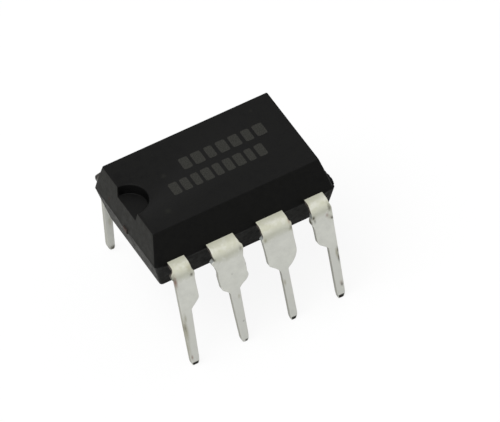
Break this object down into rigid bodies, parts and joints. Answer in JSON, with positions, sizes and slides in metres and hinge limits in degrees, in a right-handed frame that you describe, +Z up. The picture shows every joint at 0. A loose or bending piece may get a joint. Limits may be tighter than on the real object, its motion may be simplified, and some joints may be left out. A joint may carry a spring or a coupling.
{
  "type": "dip integrated circuit chip",
  "caption": "Plastic dual in-line chip: drafted black epoxy body with a half-moon index notch, and rows of formed, plated leads for through-hole boards or sockets.",
  "frame": {"origin": "on the plane that the lead tips stand on, under the middle of the body", "axes": "+X along the body away from the index notch, +Y from the row of pins 1 to 4 to the row of pins 5 to 8, +Z up out of the top face"},
  "size_m": [0.0095, 0.0088, 0.0074],
  "materials": {
    "moulded_epoxy": "matte, spark-eroded mould texture",
    "lead_plating": "satin plating over copper alloy, faintly yellow",
    "bare_copper": "bare sheared copper alloy",
    "silver_glue": "cured silver-filled adhesive",
    "silicon": "polished silicon",
    "gold_wire": "drawn gold"
  },
  "bodies": {
    "root": {"epoxy_body": "moulded_epoxy", "lead_1": "lead_plating", "lead_2": "lead_plating", "lead_3": "lead_plating", "lead_4": "lead_plating", "lead_5": "lead_plating", "lead_6": "lead_plating", "lead_7": "lead_plating", "lead_8": "lead_plating", "die_paddle": "bare_copper", "die_attach": "silver_glue", "die": "silicon", "bond_wire_1": "gold_wire", "bond_wire_2": "gold_wire", "bond_wire_3": "gold_wire", "bond_wire_4": "gold_wire", "bond_wire_5": "gold_wire", "bond_wire_6": "gold_wire", "bond_wire_7": "gold_wire", "bond_wire_8": "gold_wire"}
  },
  "joints": []
}
